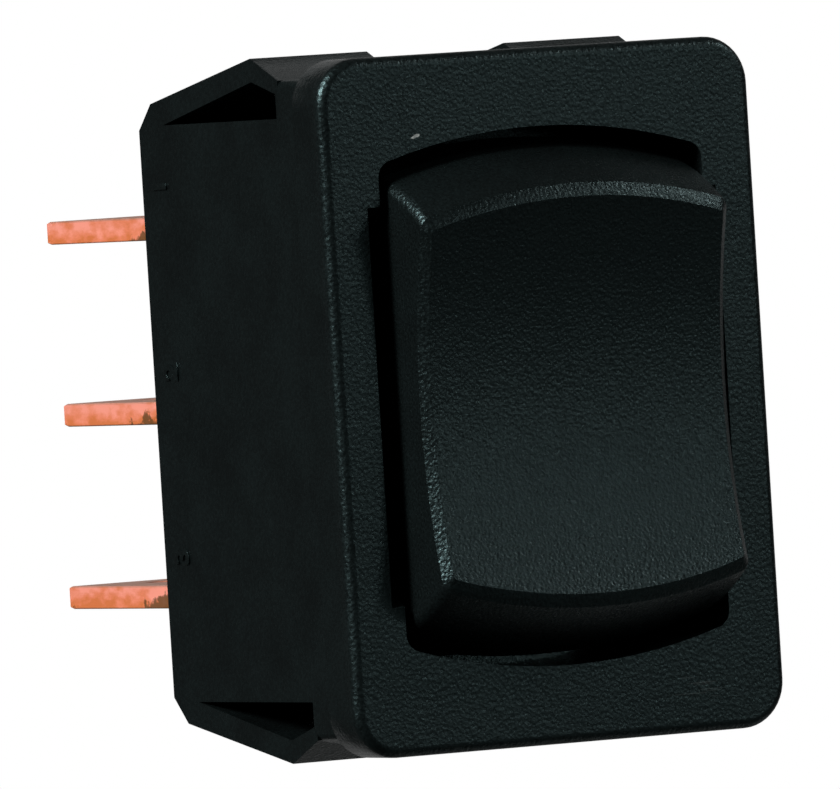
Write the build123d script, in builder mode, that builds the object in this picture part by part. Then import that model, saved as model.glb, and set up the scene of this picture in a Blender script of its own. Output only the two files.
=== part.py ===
from build123d import *
from math import atan2, cos, degrees, radians, sin, sqrt, tan
import os

# A snap-in miniature rocker switch with three positions (on - off - on) and two poles.
# Frame: X across the switch, Z up its long axis, Y from front to back. The origin is the middle of
# the bezel's rear face, where the switch seats on the panel, and the rocker faces -Y.

# ---- driving dimensions, mm -------------------------------------------------------------------
body_width = 14.6
body_height = 19.8
body_depth = 12.7
body_edge = 0.25
neck_rise = 1.3  # of the neck, which fills the panel's hole, past the body's ends
neck_depth = 3.1
rear_wall = 1.5

bezel_side_lap = 1.15  # how far the bezel stands out past the panel's hole
bezel_end_lap = 0.6
bezel_thickness = 1.9
bezel_corner = 1.6
bezel_edge = 0.35

window_side_wall = 0.95
window_end_wall = 0.76  # at the middle of the arched ends
window_bow = 1.0  # how far the arched ends stand out past their corners
window_corner = 0.6
window_depth = 5.3  # from the bezel's front
scoop_length = 13.5  # the eased stretch along each long side of the window
scoop_width = 0.5
scoop_depth = 0.8
chamber_end_wall = 1.2
divider_thickness = 1.0
divider_height = 5.4

wing_width = 4.6
wing_catch = 0.8  # how far the ridge snaps out behind the panel
wing_ridge_depth = 4.7
wing_shoulder_lead = 0.2
wing_root_rise = 0.75
wing_root_inset = 0.9
wing_heel_inset = 0.15
wing_wall = 0.8
wing_round = 0.45

pivot_depth = 0.8  # rocker's axis, behind the panel seat
pivot_radius = 1.0
pivot_reach = 0.65  # how far a boss enters the rocker
pivot_clearance = 0.05
pivot_lead = 0.2

rocker_side_gap = 0.35
rocker_end_gap = 0.34
rocker_proud = 1.55  # middle of the face, in front of the bezel
rocker_dish = 22.8
rocker_edge = 0.3
rocker_corner = 0.45
rocker_wall = 1.1
rocker_end_wall = 1.5
rocker_roof = 1.3
rocker_skirt = 2.6
rocker_rib = 1.0
post_wall = 0.6
post_stand_off = 2.1  # from a post's end to the seesaw's axis
bore_end = -1.2

plunger_radius = 0.9
plunger_clearance = 0.05
plunger_gap = 0.08  # between the nose and the trough
guide_length = 1.7
spigot_length = 0.9
spigot_clearance = 0.1
spring_wire = 0.3
spring_turns = 4.5
spring_clearance = 0.1

blade_width = 4.75  # 0.187 in tab
blade_thickness = 0.8
blade_pitch = 6.35
blade_length = 9.0  # behind the body
middle_blade_length = 8.6
blade_bevel = 0.12
blade_bevel_length = 0.5
blade_nose = 0.25
blade_hole = 1.4
blade_hole_inset = 2.9
blade_side_gap = 0.025
slot_clearance = 0.02
foot_margin = 0.3  # of the foot past its contact
foot_bend = 0.9

fulcrum_gap = 0.03
fulcrum_edge = 0.3
ear_width = 0.75
ear_rise = 0.3  # of the ears past the seesaw's axis

seesaw_tilt = 12.5  # degrees at the rocker's stops
strip_thickness = 0.6
strip_inset = 0.425
strip_end = 1.1
waist_clearance = 0.325
waist_length = 2.6
trough_half_length = 2.0
trough_angle = 14.0
trough_bend = 0.9  # outside radius of the trough's bend, centred on the seesaw's axis

contact_inset = 1.75
contact_radius = 0.8
contact_shank = 0.5
contact_rim = 0.2
moving_head = 0.7
fixed_head = 0.6
contact_tail = 0.2
closing_gap = 0.07  # left between a pair of contacts at the rocker's stop

# ---- worked out from the above -----------------------------------------------------------------
rear_floor = body_depth - rear_wall
neck_height = body_height + 2 * neck_rise
bezel_width = body_width + 2 * bezel_side_lap
bezel_height = neck_height + 2 * bezel_end_lap
window_width = body_width - 2 * window_side_wall
window_crown = body_height / 2 - window_end_wall
chamber_height = body_height - 2 * chamber_end_wall
scoop_taper = degrees(atan2(scoop_width, scoop_depth))

wing_ridge = neck_height / 2 + wing_catch
wing_root_height = body_height / 2 + wing_root_rise
wing_root_depth = body_depth - wing_root_inset

rocker_width = window_width - 2 * rocker_side_gap
rocker_radius = window_crown - rocker_end_gap  # the ends are turned about the pivot
rocker_bow = window_bow * (rocker_width / window_width) ** 2
rocker_middle = -(bezel_thickness + rocker_proud)
rocker_hollow = 2 * (rocker_radius - rocker_end_wall)
pivot_length = rocker_side_gap + pivot_reach

bore_radius = plunger_radius + plunger_clearance
spring_radius = bore_radius - spring_clearance - spring_wire / 2
spigot_radius = spring_radius - spring_wire / 2 - spigot_clearance

pole_offset = window_width / 2 - blade_side_gap - blade_width / 2
foot_front = rear_floor - blade_thickness
blade_tip = body_depth + blade_length
middle_tip = body_depth + middle_blade_length
contact_offset = blade_pitch - contact_inset
foot_end = contact_offset - contact_radius - foot_margin
saddle_width = blade_width - 2 * ear_width
strip_width = blade_width - 2 * strip_inset
strip_waist = saddle_width - 2 * waist_clearance
strip_half_length = contact_offset + strip_end

# the seesaw's axis lies where its contacts all but close at the stops
slope = radians(trough_angle)
stop = radians(seesaw_tilt)
arm_offset = trough_bend / cos(slope) - trough_half_length * tan(slope)
head_edge = contact_offset + contact_radius - contact_rim
closing_reach = (arm_offset + moving_head) * cos(stop) + head_edge * sin(stop)
rock_depth = foot_front - fixed_head - closing_gap - closing_reach
arm_rear = rock_depth + arm_offset
saddle = rock_depth + trough_bend + fulcrum_gap
ear_top = rock_depth - ear_rise

# the plunger's round nose rests between the trough's slopes
trough_front = trough_bend - strip_thickness
nose_middle = rock_depth - (plunger_radius + plunger_gap - trough_front) / cos(slope)
post_end = rock_depth - post_stand_off
plunger_seat = post_end - guide_length

poles = {"left": -pole_offset, "right": pole_offset}
ends = {"upper": 1, "lower": -1}


def level(depth):
    """The plane square to Y at a depth behind the panel seat; a positive extrude comes forward."""
    return Plane.XZ.offset(-depth)


def arched_outline(half_width, crown, bow):
    """An upright opening or block with straight sides and outward-bowed ends."""
    with BuildLine() as outline:
        upper = ThreePointArc((-half_width, crown - bow), (0, crown), (half_width, crown - bow))
        lower = ThreePointArc((half_width, bow - crown), (0, -crown), (-half_width, bow - crown))
        Line(upper @ 1, lower @ 0)
        Line(lower @ 1, upper @ 0)
    return outline.line


def save(piece, name):
    piece.part.label = name
    export_step(piece.part, "parts/" + name + ".step")


os.makedirs("parts", exist_ok=True)

# ---- housing: bezel, body, four snap wings and the contact chamber, one moulding ---------------
with BuildPart() as housing:
    with BuildSketch(level(0)):
        RectangleRounded(bezel_width, bezel_height, bezel_corner)
    extrude(amount=bezel_thickness)
    fillet(faces().sort_by(Axis.Y)[0].edges(), bezel_edge)

    with BuildSketch(level(0)):
        RectangleRounded(body_width, neck_height, body_edge)
    extrude(amount=-neck_depth)
    with BuildSketch(level(0)):
        RectangleRounded(body_width, body_height, body_edge)
    extrude(amount=-body_depth)

    # each wing is a hoop: a shoulder behind the panel, a ridge, and a long slope to the rear root
    wing_inner = body_width / 2 - wing_width
    with BuildSketch(Plane.YZ.offset(wing_inner), Plane.YZ.offset(-body_width / 2)):
        with BuildLine():
            Polyline(
                (neck_depth, body_height / 2 - wing_wall),
                (neck_depth - wing_shoulder_lead, neck_height / 2),
                (wing_ridge_depth, wing_ridge),
                (wing_root_depth, wing_root_height),
                (body_depth, body_height / 2 - wing_heel_inset),
                (body_depth, body_height / 2 - wing_wall),
                close=True,
            )
        make_face()
        with BuildLine():
            Polyline(
                (neck_depth, body_height / 2),
                (neck_depth, neck_height / 2 - wing_round),
                (wing_ridge_depth, wing_ridge - wing_wall),
                (wing_root_depth - wing_wall, body_height / 2),
                close=True,
            )
        make_face(mode=Mode.SUBTRACT)
        mirror(about=Plane.XZ)
    extrude(amount=wing_width)

    # window with arched ends, then the plain chamber behind it
    with BuildSketch(level(-bezel_thickness)) as window:
        add(arched_outline(window_width / 2, window_crown, window_bow))
        make_face()
        fillet(window.vertices(), window_corner)
    extrude(amount=-window_depth, mode=Mode.SUBTRACT)
    with BuildSketch(level(rear_floor)):
        RectangleRounded(window_width, chamber_height, window_corner)
    extrude(amount=rear_floor, mode=Mode.SUBTRACT)

    # finger scoops along the window's long sides
    with BuildSketch(level(-bezel_thickness)):
        Rectangle(window_width + 2 * scoop_width, scoop_length)
    extrude(amount=-scoop_depth, taper=scoop_taper, mode=Mode.SUBTRACT)

    # wall between the poles
    with BuildSketch(level(rear_floor)):
        Rectangle(divider_thickness, chamber_height)
    extrude(amount=divider_height)

    # pivot bosses on the side walls
    for side in (-1, 1):
        with BuildSketch(Plane.YZ.offset(side * window_width / 2)):
            with Locations((pivot_depth, 0)):
                Circle(pivot_radius)
        extrude(amount=-side * pivot_length)
        rims = edges(Select.LAST).filter_by(GeomType.CIRCLE).sort_by(Axis.X)
        chamfer(rims[0] if side > 0 else rims[-1], pivot_lead)

    # slots for the six blades
    with BuildSketch(level(rear_floor)):
        for x in poles.values():
            for z in (-blade_pitch, 0, blade_pitch):
                with Locations((x, z)):
                    Rectangle(blade_width + 2 * slot_clearance, blade_thickness + 2 * slot_clearance)
    extrude(amount=-rear_wall, mode=Mode.SUBTRACT)
save(housing, "housing")

# ---- rocker: turned ends, dished face, hollow underneath, two posts for the plungers ------------
rocker_half = rocker_width / 2
rocker_reach = rocker_radius + rocker_wall  # half length of the blank that the turned ends trim
roof_under = rocker_middle + rocker_roof


def dish(height):
    """How far forward the dished face stands at a height, as a point of the side view."""
    return (rocker_middle - rocker_dish + sqrt(rocker_dish**2 - height**2), height)


with BuildPart() as rocker:
    with BuildSketch(level(pivot_depth)):
        with BuildLine():
            crown_height = rocker_radius - rocker_bow
            crown = ThreePointArc(
                (-rocker_half, crown_height), (0, rocker_radius), (rocker_half, crown_height)
            )
            Polyline(crown @ 1, (rocker_half, 0), (-rocker_half, 0), crown @ 0)
        make_face()
    revolve(axis=Axis((0, pivot_depth, 0), (1, 0, 0)))
    with BuildSketch(Plane.YZ):
        with BuildLine():
            face = ThreePointArc(dish(-rocker_reach), dish(0), dish(rocker_reach))
            Polyline(
                face @ 1, (rocker_skirt, rocker_reach), (rocker_skirt, -rocker_reach), face @ 0
            )
        make_face()
    extrude(amount=rocker_half, both=True, mode=Mode.INTERSECT)
    side_arcs = edges().filter_by(GeomType.CIRCLE)
    fillet(side_arcs.filter_by(lambda e: abs(e.radius - crown_height) < 0.01), rocker_corner)
    chamfer(faces().sort_by(Axis.Y)[0].edges(), rocker_edge)

    with BuildSketch(level(rocker_skirt)):
        Rectangle(rocker_width - 2 * rocker_wall, rocker_hollow)
    extrude(amount=rocker_skirt - roof_under, mode=Mode.SUBTRACT)
    with BuildSketch(level(rocker_skirt)):
        Rectangle(2 * pole_offset, rocker_rib)
    extrude(amount=rocker_skirt - roof_under)
    with BuildSketch(level(post_end)):
        with Locations((-pole_offset, 0), (pole_offset, 0)):
            Circle(bore_radius + post_wall)
    extrude(amount=post_end - roof_under)
    with BuildSketch(level(post_end)):
        with Locations((-pole_offset, 0), (pole_offset, 0)):
            Circle(bore_radius)
    extrude(amount=post_end - bore_end, mode=Mode.SUBTRACT)

    socket_depth = rocker_half - (window_width / 2 - pivot_length) + pivot_clearance
    for side in (-1, 1):
        with BuildSketch(Plane.YZ.offset(side * rocker_half)):
            with Locations((pivot_depth, 0)):
                Circle(pivot_radius + pivot_clearance)
        extrude(amount=-side * socket_depth, mode=Mode.SUBTRACT)
save(rocker, "rocker")


def plunger(x):
    """A round-nosed pin with a spigot that centres its spring."""
    with BuildPart() as pin:
        with BuildSketch(Plane.XY):
            with BuildLine():
                shoulder = Polyline(
                    (x, plunger_seat - spigot_length),
                    (x + spigot_radius, plunger_seat - spigot_length),
                    (x + spigot_radius, plunger_seat),
                    (x + plunger_radius, plunger_seat),
                    (x + plunger_radius, nose_middle),
                )
                nose = CenterArc((x, nose_middle), plunger_radius, 0, 90)
                Line(nose @ 1, shoulder @ 0)
            make_face()
        revolve(axis=Axis((x, 0, 0), (0, 1, 0)))
    return pin


def spring(x):
    """A compression spring between the blind end of the bore and the plunger's shoulder."""
    coil_height = plunger_seat - bore_end - spring_wire
    with BuildPart() as wound:
        with BuildLine():
            coil = Helix(
                coil_height / spring_turns,
                coil_height,
                spring_radius,
                center=(x, bore_end + spring_wire / 2, 0),
                direction=(0, 1, 0),
            )
        with BuildSketch(Plane(origin=coil @ 0, z_dir=coil % 0)):
            RegularPolygon(spring_wire / 2, 8)  # flats keep the coil light
        sweep(path=coil, is_frenet=True)
    return wound


def seesaw(x):
    """A copper strip with two arms and, bent about the rocking axis, a trough for the plunger."""
    with BuildPart() as strip:
        with BuildSketch(Plane.YZ.offset(x)):
            with BuildLine():
                FilletPolyline(
                    (arm_rear, -strip_half_length),
                    (arm_rear, -trough_half_length),
                    (rock_depth + trough_bend / cos(slope), 0),
                    (arm_rear, trough_half_length),
                    (arm_rear, strip_half_length),
                    radius=trough_bend,
                )
                offset(amount=strip_thickness, side=Side.LEFT, kind=Kind.INTERSECTION)
            make_face()
        extrude(amount=strip_width / 2, both=True)
        fillet(strip.edges().filter_by(Axis.Y).group_by(Axis.Z)[0], strip_thickness)
        fillet(strip.edges().filter_by(Axis.Y).group_by(Axis.Z)[-1], strip_thickness)
        with BuildSketch(level(arm_rear)):
            notch = (strip_width - strip_waist) / 2
            with Locations((x - (strip_width - notch) / 2, 0), (x + (strip_width - notch) / 2, 0)):
                Rectangle(notch, waist_length)
            with Locations((x, contact_offset), (x, -contact_offset)):
                Circle(contact_shank)
        extrude(amount=saddle - arm_rear + strip_thickness, both=True, mode=Mode.SUBTRACT)
    return strip


def contact(x, z, seat, facing, head, grip):
    """A silver rivet: a bevelled head on the seat, and a shank through the metal behind it."""
    with BuildPart() as rivet:
        with BuildSketch(Plane.XY.offset(z)):
            with BuildLine():
                Polyline(
                    (x, seat - facing * grip),
                    (x + contact_shank, seat - facing * grip),
                    (x + contact_shank, seat),
                    (x + contact_radius, seat),
                    (x + contact_radius, seat + facing * (head - contact_rim)),
                    (x + contact_radius - contact_rim, seat + facing * head),
                    (x, seat + facing * head),
                    close=True,
                )
            make_face()
        revolve(axis=Axis((x, 0, z), (0, 1, 0)))
    return rivet


def tab_plan(x, front, tip):
    """Seen from above: a tab with clipped corners at its tip."""
    half = blade_width / 2
    with BuildLine() as outline:
        Polyline(
            (x - half, front),
            (x - half, tip - blade_nose),
            (x - half + blade_nose, tip),
            (x + half - blade_nose, tip),
            (x + half, tip - blade_nose),
            (x + half, front),
            close=True,
        )
    return outline.line


def end_terminal(x, end):
    """A tab whose inner end is bent into a foot that lies on the rear wall and carries a contact."""
    outer = blade_pitch + blade_thickness / 2
    inner = blade_pitch - blade_thickness / 2
    with BuildPart() as tab:
        with BuildSketch(Plane.YZ.offset(x)) as side_view:
            with BuildLine():
                Polyline(
                    (foot_front, end * foot_end),
                    (foot_front, end * outer),
                    (blade_tip - blade_bevel_length, end * outer),
                    (blade_tip, end * (outer - blade_bevel)),
                    (blade_tip, end * (inner + blade_bevel)),
                    (blade_tip - blade_bevel_length, end * inner),
                    (rear_floor, end * inner),
                    (rear_floor, end * foot_end),
                    close=True,
                )
            make_face()
            corners = side_view.vertices().sort_by(lambda v: v.Y * end - v.X)
            fillet(corners[-1], foot_bend)
        extrude(amount=blade_width, both=True)
        with BuildSketch(Plane.XY):
            add(tab_plan(x, foot_front - blade_thickness, blade_tip))
            make_face()
        extrude(amount=2 * blade_pitch, both=True, mode=Mode.INTERSECT)
        with BuildSketch(Plane.XY):
            with Locations((x, blade_tip - blade_hole_inset)):
                Circle(blade_hole / 2)
        extrude(amount=2 * blade_pitch, both=True, mode=Mode.SUBTRACT)
        with BuildSketch(level(foot_front)):
            with Locations((x, end * contact_offset)):
                Circle(contact_shank)
        extrude(amount=-blade_thickness, mode=Mode.SUBTRACT)
    return tab


def middle_terminal(x):
    """A straight tab whose inner end is a fulcrum edge between two ears."""
    half = blade_thickness / 2
    with BuildPart() as tab:
        with BuildSketch(Plane.YZ.offset(x)):
            with BuildLine():
                Polyline(
                    (ear_top, half),
                    (middle_tip - blade_bevel_length, half),
                    (middle_tip, half - blade_bevel),
                    (middle_tip, blade_bevel - half),
                    (middle_tip - blade_bevel_length, -half),
                    (ear_top, -half),
                    close=True,
                )
            make_face()
        extrude(amount=blade_width, both=True)
        with BuildSketch(Plane.XY):
            add(tab_plan(x, ear_top, middle_tip))
            make_face()
        extrude(amount=blade_thickness, both=True, mode=Mode.INTERSECT)
        with BuildSketch(Plane.XY):
            with Locations((x, (ear_top + saddle) / 2)):
                Rectangle(saddle_width, saddle - ear_top)
            with Locations((x, middle_tip - blade_hole_inset)):
                Circle(blade_hole / 2)
        extrude(amount=blade_thickness, both=True, mode=Mode.SUBTRACT)
        ridge = tab.edges().filter_by(Axis.X).filter_by_position(Axis.Y, saddle - 0.01, saddle + 0.01)
        chamfer(ridge, (blade_thickness - fulcrum_edge) / 2)
    return tab


for pole, x in poles.items():
    save(plunger(x), "plunger_" + pole)
    save(spring(x), "spring_" + pole)
    save(seesaw(x), "seesaw_" + pole)
    save(middle_terminal(x), "terminal_" + pole + "_middle")
    for end, sign in ends.items():
        z = sign * contact_offset
        save(end_terminal(x, sign), "terminal_" + pole + "_" + end)
        fixed = contact(x, z, foot_front, -1, fixed_head, blade_thickness)
        save(fixed, "fixed_contact_" + pole + "_" + end)
        moving = contact(x, z, arm_rear, 1, moving_head, strip_thickness + contact_tail)
        save(moving, "moving_contact_" + pole + "_" + end)
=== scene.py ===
import bpy
import math
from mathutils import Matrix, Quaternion, Vector


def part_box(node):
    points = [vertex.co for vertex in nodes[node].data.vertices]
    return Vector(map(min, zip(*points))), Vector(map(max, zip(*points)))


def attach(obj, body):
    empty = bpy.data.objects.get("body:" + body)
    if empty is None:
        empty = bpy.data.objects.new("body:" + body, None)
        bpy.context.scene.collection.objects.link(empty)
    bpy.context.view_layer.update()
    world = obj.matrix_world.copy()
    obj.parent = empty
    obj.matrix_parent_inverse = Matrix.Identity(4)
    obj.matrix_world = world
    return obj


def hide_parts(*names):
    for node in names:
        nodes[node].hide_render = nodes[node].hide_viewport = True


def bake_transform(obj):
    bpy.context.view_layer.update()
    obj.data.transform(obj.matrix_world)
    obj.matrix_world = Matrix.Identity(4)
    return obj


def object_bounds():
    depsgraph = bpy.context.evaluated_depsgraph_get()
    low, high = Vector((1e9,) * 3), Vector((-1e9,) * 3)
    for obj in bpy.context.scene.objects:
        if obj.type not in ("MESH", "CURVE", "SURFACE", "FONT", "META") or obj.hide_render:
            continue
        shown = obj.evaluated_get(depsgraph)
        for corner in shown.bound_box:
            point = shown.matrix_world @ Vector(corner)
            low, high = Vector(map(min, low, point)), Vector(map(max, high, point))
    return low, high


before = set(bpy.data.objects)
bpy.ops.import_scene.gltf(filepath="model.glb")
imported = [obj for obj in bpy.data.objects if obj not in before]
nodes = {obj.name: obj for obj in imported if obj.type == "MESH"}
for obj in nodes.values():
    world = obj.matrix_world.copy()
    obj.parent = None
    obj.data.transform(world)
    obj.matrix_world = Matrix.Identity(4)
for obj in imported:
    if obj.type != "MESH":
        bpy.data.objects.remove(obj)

# A snap-in rocker switch: black nylon housing and rocker, copper tabs, silver contacts.
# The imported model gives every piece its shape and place, and this script gives it its finish,
# its round-wire springs and its terminal numbers.

scene = bpy.context.scene
scene.view_settings.view_transform = "Standard"
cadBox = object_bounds()
mm = 0.001
middle = (cadBox[0] + cadBox[1]) / 2
print("frame loaded:", len(nodes), "nodes")


def linear(hexColour):
    values = [int(hexColour[i:i + 2], 16) / 255 for i in (1, 3, 5)]
    channels = [v / 12.92 if v <= 0.04045 else ((v + 0.055) / 1.055) ** 2.4 for v in values]
    return (*channels, 1.0)


def toward(turn, height):
    # unit vector from the object: turn 0 is straight out in front, and positive is to its left
    around, up = math.radians(turn), math.radians(height)
    flat = math.cos(up)
    return Vector((-math.sin(around) * flat, -math.cos(around) * flat, math.sin(up)))


def addNode(tree, kind, inputs, **settings):
    # one node with its settings; an input is a value or the output socket that feeds it
    made = tree.nodes.new(kind)
    for name, value in settings.items():
        setattr(made, name, value)
    for name, value in inputs.items():
        if isinstance(value, bpy.types.NodeSocket):
            tree.links.new(value, made.inputs[name])
        else:
            made.inputs[name].default_value = value
    return made


def newMaterial(name):
    # a material and its empty node tree
    material = bpy.data.materials.new(name)
    material.use_nodes = True
    material.node_tree.nodes.clear()
    return material, material.node_tree


# camera
cameraView = {
    "turn": 30.0,  # degrees to the object's left
    "height": 1.17,  # degrees above its level
    "roll": 3.54,  # degrees
    "distance": 600 * mm,
    "lens": 757.8,  # millimetres, as Blender counts them
    "reach": 20,  # metres that it sees
    "aimRight": -3.61 * mm,  # from the origin, across and up the picture
    "aimUp": 0.05 * mm,
}
cameraData = bpy.data.cameras.new("camera")
camera = bpy.data.objects.new("camera", cameraData)
scene.collection.objects.link(camera)
cameraData.lens = cameraView["lens"]
cameraData.clip_end = cameraView["reach"]
outward = toward(cameraView["turn"], cameraView["height"])
roll = Quaternion((0, 0, 1), -math.radians(cameraView["roll"]))
turned = (-outward).to_track_quat("-Z", "Y") @ roll
aim = turned @ Vector((cameraView["aimRight"], cameraView["aimUp"], 0))
camera.rotation_mode = "QUATERNION"
camera.rotation_quaternion = turned
camera.location = aim + outward * cameraView["distance"]
scene.camera = camera
print("camera placed")

# lamps, world, floor and backdrop
studio = {
    "lampDistance": 0.7,  # metres from the object's middle
    "roomColour": "#333434",  # dim, so that black nylon stays black
    "floorColour": "#e8e8e6",
    "floorDrop": 500 * mm,  # below the object
    "floorSize": 3000 * mm,
    "cardColour": "#f4f4f2",
    "cardDistance": 1200 * mm,  # white card that fills the view behind the object
    "cardSize": 200 * mm,
}
# turn, height and spread are degrees, size is metres across and power is watts
lamps = {
    "sweep": {"turn": -32, "height": 9, "size": 0.42, "spread": 60, "power": 0.021},
    "glint": {"turn": -32, "height": 10, "size": 0.08, "spread": 60, "power": 0.017},
    "rim": {"turn": -60, "height": 30, "size": 0.06, "spread": 30, "power": 0.018},
    "side": {"turn": 85, "height": 35, "size": 0.3, "spread": 30, "power": 0.37},
    "rear": {"turn": -145, "height": 0, "size": 1.2, "spread": 150, "power": 0.5},
    "lift": {"turn": -30, "height": -22, "size": 0.4, "spread": 60, "power": 0.006},
}
for name, lamp in lamps.items():
    lampData = bpy.data.lights.new(name, "AREA")
    lampData.shape = "DISK"
    lampData.size = lamp["size"]
    lampData.spread = math.radians(lamp["spread"])
    lampData.energy = lamp["power"]
    lampObject = bpy.data.objects.new(name, lampData)
    scene.collection.objects.link(lampObject)
    direction = toward(lamp["turn"], lamp["height"])
    lampObject.location = middle + direction * studio["lampDistance"]
    lampObject.rotation_mode = "QUATERNION"
    lampObject.rotation_quaternion = (-direction).to_track_quat("-Z", "Y")

world = bpy.data.worlds.new("studio")
scene.world = world
world.use_nodes = True
tree = world.node_tree
tree.nodes.clear()
room = addNode(tree, "ShaderNodeBackground", {"Color": linear(studio["roomColour"])})
addNode(tree, "ShaderNodeOutputWorld", {"Surface": room.outputs[0]})


def square(name, size, material):
    # flat sheet of the studio
    half = size / 2
    corners = [(-half, -half, 0), (half, -half, 0), (half, half, 0), (-half, half, 0)]
    mesh = bpy.data.meshes.new(name)
    mesh.from_pydata(corners, [], [(0, 1, 2, 3)])
    mesh.materials.append(material)
    made = bpy.data.objects.new(name, mesh)
    scene.collection.objects.link(made)
    return made


# flat floor paint, which shows as an even pale grey
paint, tree = newMaterial("matte_floor_paint")
shader = addNode(tree, "ShaderNodeBsdfDiffuse", {"Color": linear(studio["floorColour"])})
addNode(tree, "ShaderNodeOutputMaterial", {"Surface": shader.outputs[0]})
floor = square("floor", studio["floorSize"], paint)
floor.location = (0, 0, cadBox[0].z - studio["floorDrop"])

# card that is pure white to the camera and in reflections, and a pale sheet to all other light
card, tree = newMaterial("white_card")
path = addNode(tree, "ShaderNodeLightPath", {})
seen = path.outputs["Is Camera Ray"]
for ray in ("Is Glossy Ray", "Is Transmission Ray"):
    both = addNode(tree, "ShaderNodeMath", {0: seen, 1: path.outputs[ray]}, operation="MAXIMUM")
    seen = both.outputs[0]
matte = addNode(tree, "ShaderNodeBsdfDiffuse", {"Color": linear(studio["cardColour"])})
white = addNode(tree, "ShaderNodeEmission", {"Color": (1, 1, 1, 1), "Strength": 1.0})
mixed = addNode(tree, "ShaderNodeMixShader", {0: seen, 1: matte.outputs[0], 2: white.outputs[0]})
addNode(tree, "ShaderNodeOutputMaterial", {"Surface": mixed.outputs[0]})
backdrop = square("backdrop", studio["cardSize"], card)
backdrop.rotation_mode = "QUATERNION"
backdrop.rotation_quaternion = outward.to_track_quat("Z", "Y")
backdrop.location = aim - outward * studio["cardDistance"]
print("studio set")

# what the grain of both black mouldings has in common
nylonGrain = {
    "detail": 3.0,  # octaves of the noise, and how much each finer one carries
    "carry": 0.65,
    "shadeEnds": (0.15, 0.36),  # grain times cloud, where it is darkest and lightest
    "glossEnds": (0.35, 0.65),  # grain between which the roughness runs
}

# black nylon as it is moulded for the housing: a spark-eroded mould leaves a fine grain with small
# glints on the bezel's front, and the polished side walls come out smoother
housingLook = {
    "colour": "#0e1313",
    "shade": "#090c0c",
    "grain": 0.11 * mm,
    "grainDepth": 0.016 * mm,
    "crater": 0.14 * mm,
    "craterShare": 0.8,  # relief of the craters, against the noise's
    "wallGrain": 0.5,  # grain of the walls, as a share of the front's
    "wallGloss": 0.7,  # roughness of the walls, as a share of the front's
    "frontEnds": (-1.7 * mm, -1.2 * mm),  # depths between which the front's grain fades
    "cloud": 2.4 * mm,
    "roughness": (0.25, 0.43),
    "ior": 1.53,
    "specular": 0.37,
    "sheen": "#cffdff",  # tint of what it reflects
    "dust": "#d6dad6",
    "dustSpacing": 1.3 * mm,
    "dustSize": 0.05,  # of the spacing
    "dustShare": 0.02,  # of the places where a fleck could lie
    "speck": (-4.8 * mm, -1.9 * mm, 9.05 * mm),
    "speckSize": (0.36 * mm, 0.36 * mm, 0.11 * mm),
    "speckSlant": -0.3,  # radians, rising to the right
    "scuff": (5.2 * mm, -1.9 * mm, -10.3 * mm),
    "scuffReach": 2.6 * mm,
    "scuffEnds": (0.66, 0.9),  # noise that marks in the scuff's middle and at its reach
    "scuffShare": 0.12,  # of the dust's whiteness
    "scratch": (2.0 * mm, 0.06 * mm),  # length and width
    "scratchSlant": 0.35,  # radians
    "scratchDetail": 1.0,
}


def paleDust(tree, place, look):
    # sparse pale flecks, as a share from 0 to 1
    flecks = addNode(
        tree, "ShaderNodeTexVoronoi", {"Vector": place, "Scale": 1 / look["dustSpacing"]}
    )
    small = addNode(
        tree, "ShaderNodeMath", {0: flecks.outputs["Distance"], 1: look["dustSize"]},
        operation="LESS_THAN",
    ).outputs[0]
    chance = addNode(tree, "ShaderNodeSeparateColor", {0: flecks.outputs["Color"]}).outputs[0]
    rare = addNode(
        tree, "ShaderNodeMath", {0: chance, 1: look["dustShare"]}, operation="LESS_THAN"
    ).outputs[0]
    return addNode(tree, "ShaderNodeMath", {0: small, 1: rare}, operation="MULTIPLY").outputs[0]


def bezelMarks(tree, place, grain, look):
    # one white speck by the window: it reaches as far as the grain's noise says, in shares of its
    # size, so that its edge is ragged
    within = addNode(
        tree, "ShaderNodeMapping",
        {
            "Vector": place, "Location": look["speck"],
            "Rotation": (0, look["speckSlant"], 0), "Scale": look["speckSize"],
        },
        vector_type="TEXTURE",
    ).outputs[0]
    away = addNode(tree, "ShaderNodeVectorMath", {0: within}, operation="LENGTH")
    near = addNode(
        tree, "ShaderNodeMath", {0: away.outputs["Value"], 1: grain}, operation="LESS_THAN"
    ).outputs[0]
    # fine scratches by a lower corner of the bezel, thinning out with distance
    along, across = look["scratch"]
    drawn = addNode(
        tree, "ShaderNodeMapping",
        {
            "Vector": place, "Rotation": (0, look["scratchSlant"], 0),
            "Scale": (1 / along, 1 / across, 1 / across),
        },
    ).outputs[0]
    lines = addNode(
        tree, "ShaderNodeTexNoise",
        {"Vector": drawn, "Scale": 1.0, "Detail": look["scratchDetail"]},
    ).outputs["Fac"]
    reach = addNode(
        tree, "ShaderNodeVectorMath", {0: place, 1: look["scuff"]}, operation="DISTANCE"
    ).outputs["Value"]
    bound = addNode(
        tree, "ShaderNodeMapRange",
        {
            "Value": reach, "From Min": 0.0, "From Max": look["scuffReach"],
            "To Min": look["scuffEnds"][0], "To Max": look["scuffEnds"][1],
        },
    ).outputs[0]
    scuffed = addNode(
        tree, "ShaderNodeMath", {0: lines, 1: bound}, operation="GREATER_THAN"
    ).outputs[0]
    faint = addNode(
        tree, "ShaderNodeMath", {0: scuffed, 1: look["scuffShare"]}, operation="MULTIPLY"
    ).outputs[0]
    return addNode(tree, "ShaderNodeMath", {0: near, 1: faint}, operation="MAXIMUM").outputs[0]


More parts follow.
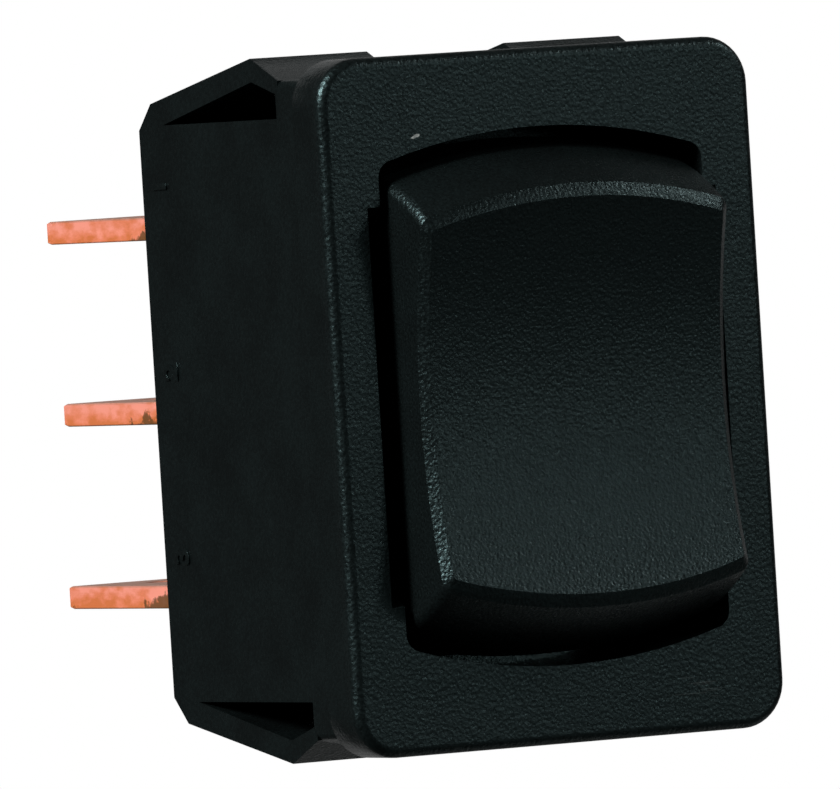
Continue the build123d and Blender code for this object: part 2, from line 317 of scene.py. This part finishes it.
def grainedNylon(name, look):
    material, tree = newMaterial(name)
    place = addNode(tree, "ShaderNodeTexCoord", {}).outputs["Object"]
    depth = addNode(tree, "ShaderNodeSeparateXYZ", {0: place}).outputs["Y"]
    grain = addNode(
        tree, "ShaderNodeTexNoise",
        {
            "Vector": place, "Scale": 1 / look["grain"],
            "Detail": nylonGrain["detail"], "Roughness": nylonGrain["carry"],
        },
    ).outputs["Fac"]
    cloud = addNode(
        tree, "ShaderNodeTexNoise",
        {"Vector": place, "Scale": 1 / look["cloud"], "Detail": nylonGrain["detail"]},
    ).outputs["Fac"]
    # colour is darker in the grain's hollows, which is painted shade, and in a slow cloud of random
    # tone
    mixed = addNode(tree, "ShaderNodeMath", {0: grain, 1: cloud}, operation="MULTIPLY").outputs[0]
    darkest, lightest = nylonGrain["shadeEnds"]
    lit = addNode(
        tree, "ShaderNodeMapRange", {"Value": mixed, "From Min": darkest, "From Max": lightest}
    ).outputs[0]
    tint = addNode(
        tree, "ShaderNodeMix",
        {0: lit, 6: linear(look["shade"]), 7: linear(look["colour"])},
        data_type="RGBA",
    ).outputs[2]
    # relief of noise and craters, weaker behind the front
    fadeStart, fadeEnd = look["frontEnds"]
    front = addNode(
        tree, "ShaderNodeMapRange",
        {
            "Value": depth, "From Min": fadeStart, "From Max": fadeEnd,
            "To Min": 1.0, "To Max": look["wallGrain"],
        },
    ).outputs[0]
    craters = addNode(
        tree, "ShaderNodeTexVoronoi", {"Vector": place, "Scale": 1 / look["crater"]}
    ).outputs["Distance"]
    pitted = addNode(
        tree, "ShaderNodeMath", {0: craters, 1: look["craterShare"], 2: grain},
        operation="MULTIPLY_ADD",
    ).outputs[0]
    relief = addNode(tree, "ShaderNodeMath", {0: pitted, 1: front}, operation="MULTIPLY").outputs[0]
    bump = addNode(
        tree, "ShaderNodeBump", {"Height": relief, "Strength": 1.0, "Distance": look["grainDepth"]}
    ).outputs[0]
    low, high = nylonGrain["glossEnds"]
    gloss = addNode(
        tree, "ShaderNodeMapRange",
        {
            "Value": grain, "From Min": low, "From Max": high,
            "To Min": look["roughness"][0], "To Max": look["roughness"][1],
        },
    ).outputs[0]
    polish = addNode(
        tree, "ShaderNodeMapRange",
        {
            "Value": depth, "From Min": fadeStart, "From Max": fadeEnd,
            "To Min": 1.0, "To Max": look["wallGloss"],
        },
    ).outputs[0]
    gloss = addNode(tree, "ShaderNodeMath", {0: gloss, 1: polish}, operation="MULTIPLY").outputs[0]
    pale = paleDust(tree, place, look)
    if "speck" in look:
        marks = bezelMarks(tree, place, grain, look)
        pale = addNode(tree, "ShaderNodeMath", {0: pale, 1: marks}, operation="MAXIMUM").outputs[0]
    colour = addNode(
        tree, "ShaderNodeMix", {0: pale, 6: tint, 7: linear(look["dust"])}, data_type="RGBA"
    ).outputs[2]
    shader = addNode(
        tree, "ShaderNodeBsdfPrincipled",
        {
            "Base Color": colour, "Roughness": gloss, "Normal": bump,
            "IOR": look["ior"], "Specular IOR Level": look["specular"],
            "Specular Tint": linear(look["sheen"]),
        },
    )
    addNode(tree, "ShaderNodeOutputMaterial", {"Surface": shader.outputs[0]})
    return material


housingNylon = grainedNylon("moulded_black_nylon_housing", housingLook)

# black nylon as it is moulded for the rocker: the same grain on every side, a little finer, so that
# the dished face runs smoothly from near black above to a soft sparkling sheen below
rockerLook = {
    "colour": "#0d1212",
    "shade": "#090c0c",
    "grain": 0.10 * mm,
    "grainDepth": 0.018 * mm,
    "crater": 0.13 * mm,
    "craterShare": 0.8,
    "wallGrain": 1.0,
    "wallGloss": 1.0,
    "frontEnds": (-1.7 * mm, -1.2 * mm),
    "cloud": 3.0 * mm,
    "roughness": (0.22, 0.40),
    "ior": 1.53,
    "specular": 0.37,
    "sheen": "#cffdff",
    "dust": "#a9b0ac",
    "dustSpacing": 1.6 * mm,
    "dustSize": 0.03,
    "dustShare": 0.03,
}
rockerNylon = grainedNylon("moulded_black_nylon_rocker", rockerLook)
print("nylon ready")

# copper strip stamped into tabs: salmon metal with pink and orange blotches, painted lighter pink
# above and darker orange below as light from above, a painted dull grey reflection on the upper
# face, a dark burr along the lower edge and brown flux stains near the body
tabLook = {
    "salmon": "#f58d68",
    "pink": "#ffa08a",
    "orange": "#e6804c",
    "hueStops": (0.36, 0.5, 0.64),  # noise that shows orange, salmon and pink
    "blotch": (0.5 * mm, 1.1 * mm, 0.5 * mm),
    "blotchNoise": (4.0, 0.62),  # octaves, and how much each finer one carries
    "lean": 0.13,  # painted light: how far the upper half leans to lighter pink and the lower to darker orange
    "stain": "#5b4420",
    "stainSize": 0.6 * mm,
    "stainNoise": (4.0, 0.6),
    "stainDepths": (14.2 * mm, 17.2 * mm),
    "stainEnds": (0.42, 0.8),  # noise that stains at the first of these depths and at the second
    "stainLean": 0.16,  # added to it from the middle to the upper face, so that less is stained
    "stainEdge": 0.07,  # noise over which a stain comes up
    "stainShare": 0.85,
    # painted reflection: the upper face coloured dull grey-brown, as it looks when seen at a
    # grazing angle
    "paintedReflection": "#8f7868",
    "paintedReflectionEnds": (0.8, 1.0),  # levels, from -1 at the tab's lower face to 1 at its upper one
    "burr": "#4c332a",
    "burrEnds": (-0.86, -1.0),
    "edgeShare": 0.8,  # of the painted reflection and the burr over the copper
    "pitch": 6.35 * mm,  # from tab to tab
    "halfThickness": 0.4 * mm,
    "line": (3.0 * mm, 0.03 * mm),  # length and width of the stamping lines
    "lineDepth": 0.002 * mm,
    "lineStrength": 0.8,
    "lineDetail": 2.0,
    "glossEnds": (0.35, 0.65),  # blotch noise between which the roughness runs
    "roughness": (0.36, 0.55),
    "metallic": 0.3,  # worn and oxidised, so it shows its own colour more than the room's
}


def fluxStains(tree, place, depth, level, look):
    # brown stains where the tab leaves the body, fewer outwards and towards the upper face
    detail, carry = look["stainNoise"]
    patch = addNode(
        tree, "ShaderNodeTexNoise",
        {"Vector": place, "Scale": 1 / look["stainSize"], "Detail": detail, "Roughness": carry},
    ).outputs["Fac"]
    bound = addNode(
        tree, "ShaderNodeMapRange",
        {
            "Value": depth,
            "From Min": look["stainDepths"][0], "From Max": look["stainDepths"][1],
            "To Min": look["stainEnds"][0], "To Max": look["stainEnds"][1],
        },
    ).outputs[0]
    bound = addNode(
        tree, "ShaderNodeMath", {0: level, 1: look["stainLean"], 2: bound},
        operation="MULTIPLY_ADD",
    ).outputs[0]
    over = addNode(tree, "ShaderNodeMath", {0: patch, 1: bound}, operation="SUBTRACT").outputs[0]
    return addNode(
        tree, "ShaderNodeMapRange",
        {
            "Value": over, "From Min": 0.0, "From Max": look["stainEdge"],
            "To Max": look["stainShare"],
        },
    ).outputs[0]


def stampedCopper(name, look):
    material, tree = newMaterial(name)
    place = addNode(tree, "ShaderNodeTexCoord", {}).outputs["Object"]
    axes = addNode(tree, "ShaderNodeSeparateXYZ", {0: place})
    stretched = addNode(
        tree, "ShaderNodeMapping", {"Vector": place, "Scale": tuple(1 / b for b in look["blotch"])}
    ).outputs[0]
    detail, carry = look["blotchNoise"]
    blotch = addNode(
        tree, "ShaderNodeTexNoise",
        {"Vector": stretched, "Scale": 1.0, "Detail": detail, "Roughness": carry},
    ).outputs["Fac"]
    # height within the tab, from -1 along its lower face to 1 along its upper one
    level = addNode(
        tree, "ShaderNodeMath",
        {0: axes.outputs["Z"], 1: look["pitch"] / 2, 2: -look["pitch"] / 2}, operation="WRAP",
    ).outputs[0]
    level = addNode(
        tree, "ShaderNodeMath", {0: level, 1: look["halfThickness"]}, operation="DIVIDE"
    ).outputs[0]
    # painted light from above: the upper half leans to lighter pink and the lower half to darker
    # orange
    hue = addNode(
        tree, "ShaderNodeMath", {0: level, 1: look["lean"], 2: blotch}, operation="MULTIPLY_ADD"
    ).outputs[0]
    hues = addNode(tree, "ShaderNodeValToRGB", {"Fac": hue})
    first, between, last = look["hueStops"]
    stops = hues.color_ramp.elements
    stops[0].position = first
    stops[0].color = linear(look["orange"])
    stops[1].position = last
    stops[1].color = linear(look["pink"])
    stops.new(between).color = linear(look["salmon"])
    stained = fluxStains(tree, place, axes.outputs["Y"], level, look)
    colour = addNode(
        tree, "ShaderNodeMix", {0: stained, 6: hues.outputs[0], 7: linear(look["stain"])},
        data_type="RGBA",
    ).outputs[2]
    # painted dull grey reflection on the upper face, then burr along the lower one
    for layer, ends in ((look["paintedReflection"], look["paintedReflectionEnds"]), (look["burr"], look["burrEnds"])):
        cover = addNode(
            tree, "ShaderNodeMapRange",
            {"Value": level, "From Min": ends[0], "From Max": ends[1], "To Max": look["edgeShare"]},
        ).outputs[0]
        colour = addNode(
            tree, "ShaderNodeMix", {0: cover, 6: colour, 7: linear(layer)}, data_type="RGBA"
        ).outputs[2]
    along, across = look["line"]
    drawn = addNode(
        tree, "ShaderNodeMapping",
        {"Vector": place, "Scale": (1 / across, 1 / along, 1 / across)},
    ).outputs[0]
    lines = addNode(
        tree, "ShaderNodeTexNoise", {"Vector": drawn, "Scale": 1.0, "Detail": look["lineDetail"]}
    ).outputs["Fac"]
    bump = addNode(
        tree, "ShaderNodeBump",
        {"Height": lines, "Strength": look["lineStrength"], "Distance": look["lineDepth"]},
    ).outputs[0]
    low, high = look["glossEnds"]
    gloss = addNode(
        tree, "ShaderNodeMapRange",
        {
            "Value": blotch, "From Min": low, "From Max": high,
            "To Min": look["roughness"][0], "To Max": look["roughness"][1],
        },
    ).outputs[0]
    shader = addNode(
        tree, "ShaderNodeBsdfPrincipled",
        {"Base Color": colour, "Roughness": gloss, "Metallic": look["metallic"], "Normal": bump},
    )
    addNode(tree, "ShaderNodeOutputMaterial", {"Surface": shader.outputs[0]})
    return material


tabCopper = stampedCopper("stamped_copper_tab", tabLook)
print("copper ready")

# what the mottle and the lines of the worked metals have in common
metalGrain = {
    "detail": 4.0,  # octaves of the mottle, and how much each finer one carries
    "carry": 0.55,
    "mottleEnds": (0.35, 0.65),  # noise that is dull and that is bright
    "lineDetail": 2.0,
    "lineStrength": 0.8,
}

# metals of the mechanism: rolled copper strip with long mill lines, silver rivets dulled by
# handling, and bright drawn spring wire
seesawLook = {
    "colour": "#e08c66",
    "dull": "#b0654a",
    "mottle": 1.1 * mm,
    "line": (0.03 * mm, 0.03 * mm, 4.0 * mm),
    "lineDepth": 0.0015 * mm,
    "roughness": (0.26, 0.42),
}
silverLook = {
    "colour": "#dddbd3",
    "dull": "#a79f8d",
    "mottle": 0.5 * mm,
    "line": (0.05 * mm, 0.05 * mm, 0.05 * mm),
    "lineDepth": 0.002 * mm,
    "roughness": (0.28, 0.45),
}
springLook = {
    "colour": "#b9babb",
    "dull": "#8b8a86",
    "mottle": 0.4 * mm,
    "line": (0.04 * mm, 0.5 * mm, 0.04 * mm),
    "lineDepth": 0.001 * mm,
    "roughness": (0.2, 0.34),
}


def workedMetal(name, look):
    material, tree = newMaterial(name)
    place = addNode(tree, "ShaderNodeTexCoord", {}).outputs["Object"]
    mottle = addNode(
        tree, "ShaderNodeTexNoise",
        {
            "Vector": place, "Scale": 1 / look["mottle"],
            "Detail": metalGrain["detail"], "Roughness": metalGrain["carry"],
        },
    ).outputs["Fac"]
    low, high = metalGrain["mottleEnds"]
    share = addNode(
        tree, "ShaderNodeMapRange", {"Value": mottle, "From Min": low, "From Max": high}
    ).outputs[0]
    colour = addNode(
        tree, "ShaderNodeMix",
        {0: share, 6: linear(look["dull"]), 7: linear(look["colour"])}, data_type="RGBA",
    ).outputs[2]
    drawn = addNode(
        tree, "ShaderNodeMapping", {"Vector": place, "Scale": tuple(1 / d for d in look["line"])}
    ).outputs[0]
    lines = addNode(
        tree, "ShaderNodeTexNoise",
        {"Vector": drawn, "Scale": 1.0, "Detail": metalGrain["lineDetail"]},
    ).outputs["Fac"]
    bump = addNode(
        tree, "ShaderNodeBump",
        {"Height": lines, "Strength": metalGrain["lineStrength"], "Distance": look["lineDepth"]},
    ).outputs[0]
    gloss = addNode(
        tree, "ShaderNodeMapRange",
        {
            "Value": share, "From Min": 0.0, "From Max": 1.0,
            "To Min": look["roughness"][1], "To Max": look["roughness"][0],
        },
    ).outputs[0]
    shader = addNode(
        tree, "ShaderNodeBsdfPrincipled",
        {"Base Color": colour, "Roughness": gloss, "Metallic": 1.0, "Normal": bump},
    )
    addNode(tree, "ShaderNodeOutputMaterial", {"Surface": shader.outputs[0]})
    return material


seesawCopper = workedMetal("rolled_copper_strip", seesawLook)
contactSilver = workedMetal("headed_silver_rivet", silverLook)
springSteel = workedMetal("drawn_spring_steel", springLook)
print("metals ready")

# unpigmented nylon of the plungers: milky, letting light in a little, and softly glossy
plungerLook = {
    "colour": "#e4dcc8",
    "deep": "#d2c6a8",
    "flow": 0.8 * mm,
    "grain": 0.15 * mm,
    "grainDepth": 0.002 * mm,
    "grainStrength": 0.6,
    "detail": 2.0,  # octaves of both noises
    "roughness": 0.4,
    "ior": 1.53,
    "scatter": 0.3,
    "scatterReach": 0.4 * mm,
    "scatterColours": (1.0, 0.8, 0.6),  # share of the reach for red, green and blue
}
plungerNylon, tree = newMaterial("moulded_natural_nylon")
place = addNode(tree, "ShaderNodeTexCoord", {}).outputs["Object"]
flow = addNode(
    tree, "ShaderNodeTexNoise",
    {"Vector": place, "Scale": 1 / plungerLook["flow"], "Detail": plungerLook["detail"]},
).outputs["Fac"]
colour = addNode(
    tree, "ShaderNodeMix",
    {0: flow, 6: linear(plungerLook["deep"]), 7: linear(plungerLook["colour"])}, data_type="RGBA",
).outputs[2]
grain = addNode(
    tree, "ShaderNodeTexNoise",
    {"Vector": place, "Scale": 1 / plungerLook["grain"], "Detail": plungerLook["detail"]},
).outputs["Fac"]
bump = addNode(
    tree, "ShaderNodeBump",
    {
        "Height": grain, "Strength": plungerLook["grainStrength"],
        "Distance": plungerLook["grainDepth"],
    },
).outputs[0]
shader = addNode(
    tree, "ShaderNodeBsdfPrincipled",
    {
        "Base Color": colour, "Roughness": plungerLook["roughness"], "IOR": plungerLook["ior"],
        "Subsurface Weight": plungerLook["scatter"],
        "Subsurface Scale": plungerLook["scatterReach"],
        "Subsurface Radius": plungerLook["scatterColours"],
        "Normal": bump,
    },
)
addNode(tree, "ShaderNodeOutputMaterial", {"Surface": shader.outputs[0]})
print("natural nylon ready")

# each piece's finish, by the first word of its name
finishes = {
    "housing": housingNylon,
    "rocker": rockerNylon,
    "plunger": plungerNylon,
    "spring": springSteel,
    "seesaw": seesawCopper,
    "terminal": tabCopper,
    "fixed": contactSilver,
    "moving": contactSilver,
}
for name, piece in nodes.items():
    piece.data.materials.clear()
    piece.data.materials.append(finishes[name.split("_")[0]])
print("finishes assigned")

# round drawn wire coiled into springs, in place of the imported ones
springShape = {"wire": 0.3 * mm, "turns": 4.5, "stepsPerTurn": 28, "sides": 12}


def coiledWire(name, low, high):
    # wire wound about the Y axis of its box, from its front end to its rear end
    wire, sides = springShape["wire"], springShape["sides"]
    steps = round(springShape["turns"] * springShape["stepsPerTurn"])
    centre = (low + high) / 2
    coilRadius = (high.x - low.x - wire) / 2
    points, faces = [], []
    for step in range(steps + 1):
        share = step / steps
        turn = 2 * math.pi * springShape["turns"] * share
        outwards = Vector((math.cos(turn), 0, math.sin(turn)))
        onLine = Vector((centre.x, low.y + wire / 2 + (high.y - low.y - wire) * share, centre.z))
        for corner in range(sides):  # round the wire
            around = 2 * math.pi * corner / sides
            rise = Vector((0, math.sin(around) * wire / 2, 0))
            points.append(onLine + outwards * (coilRadius + math.cos(around) * wire / 2) + rise)
        if step:
            first, last = (step - 1) * sides, step * sides
            for corner in range(sides):
                after = (corner + 1) % sides
                faces.append((first + corner, first + after, last + after, last + corner))
    faces.append(tuple(reversed(range(sides))))
    faces.append(tuple(range(steps * sides, (steps + 1) * sides)))
    mesh = bpy.data.meshes.new(name)
    mesh.from_pydata(points, [], faces)
    mesh.validate()
    for face in mesh.polygons[:-2]:  # all but the two cut ends
        face.use_smooth = True
    return mesh


for side in ("left", "right"):
    low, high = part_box("spring_" + side)
    mesh = coiledWire("coil_" + side, low, high)
    mesh.materials.append(springSteel)
    coil = bpy.data.objects.new("coil_" + side, mesh)
    scene.collection.objects.link(coil)
    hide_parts("spring_" + side)
    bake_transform(coil)
print("springs coiled")

# small raised terminal numbers on both side walls, turned to read along the wall, one near each tab
# and a little above it, in the housing's own nylon
numberLook = {
    "height": 0.9 * mm,
    "capitals": 0.7,  # a digit's height as a share of the font's size
    "raise": 0.05 * mm,
    "bolder": 0.03 * mm,
    "edge": 0.01 * mm,  # rounding of each digit's rim
    "curveSteps": 3,
    "wall": 7.3 * mm,  # from the middle plane to each side wall
    "depth": 11.4 * mm,
    "levels": (7.8 * mm, 1.45 * mm, -4.9 * mm),
    "left": ("1", "2", "3"),
    "right": ("4", "5", "6"),
}
quarterTurn = math.radians(90)
for side, sign in (("left", -1), ("right", 1)):
    for digit, level in zip(numberLook[side], numberLook["levels"]):
        drawn = bpy.data.curves.new("digit_" + digit, "FONT")
        drawn.body = digit
        drawn.size = numberLook["height"] / numberLook["capitals"]
        drawn.align_x = "CENTER"
        drawn.align_y = "CENTER"
        drawn.extrude = numberLook["raise"]
        drawn.offset = numberLook["bolder"]
        drawn.bevel_depth = numberLook["edge"]
        drawn.resolution_u = numberLook["curveSteps"]
        made = bpy.data.objects.new("housing_number_" + digit, drawn)
        scene.collection.objects.link(made)
        made.rotation_mode = "QUATERNION"
        lying = Quaternion((1, 0, 0), quarterTurn) @ Quaternion((0, 0, 1), quarterTurn)
        made.rotation_quaternion = Quaternion((0, 0, 1), quarterTurn * sign) @ lying
        made.location = (sign * numberLook["wall"], numberLook["depth"], level)
        drawn.materials.append(housingNylon)
        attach(made, "root")
print("terminal numbers raised")

# small rounded edges, as moulding and stamping leave them, so that edges catch the light
edges = {
    "housing": 0.08 * mm,
    "rocker": 0.11 * mm,
    "terminal": 0.05 * mm,
    "seesaw": 0.04 * mm,
}
rounding = {
    "join": 0.001 * mm,  # facets that share an edge are joined first
    "flat": 0.5,  # degrees up to which neighbours count as one flat
    "sharp": 28,  # degrees from which an edge is rounded
    "steps": 3,
    "evenness": 60,
}
for name, piece in nodes.items():
    width = edges.get(name.split("_")[0])
    if width is None:
        continue
    weld = piece.modifiers.new("joined_facets", "WELD")
    weld.merge_threshold = rounding["join"]
    flat = piece.modifiers.new("merged_flats", "DECIMATE")
    flat.decimate_type = "DISSOLVE"
    flat.angle_limit = math.radians(rounding["flat"])
    flat.delimit = {"NORMAL"}
    rounded = piece.modifiers.new("rounded_edges", "BEVEL")
    rounded.width = width
    rounded.segments = rounding["steps"]
    rounded.limit_method = "ANGLE"
    rounded.angle_limit = math.radians(rounding["sharp"])
    rounded.use_clamp_overlap = True
    rounded.harden_normals = True
    shaded = piece.modifiers.new("even_shading", "WEIGHTED_NORMAL")
    shaded.keep_sharp = False
    shaded.weight = rounding["evenness"]
print("edges rounded")
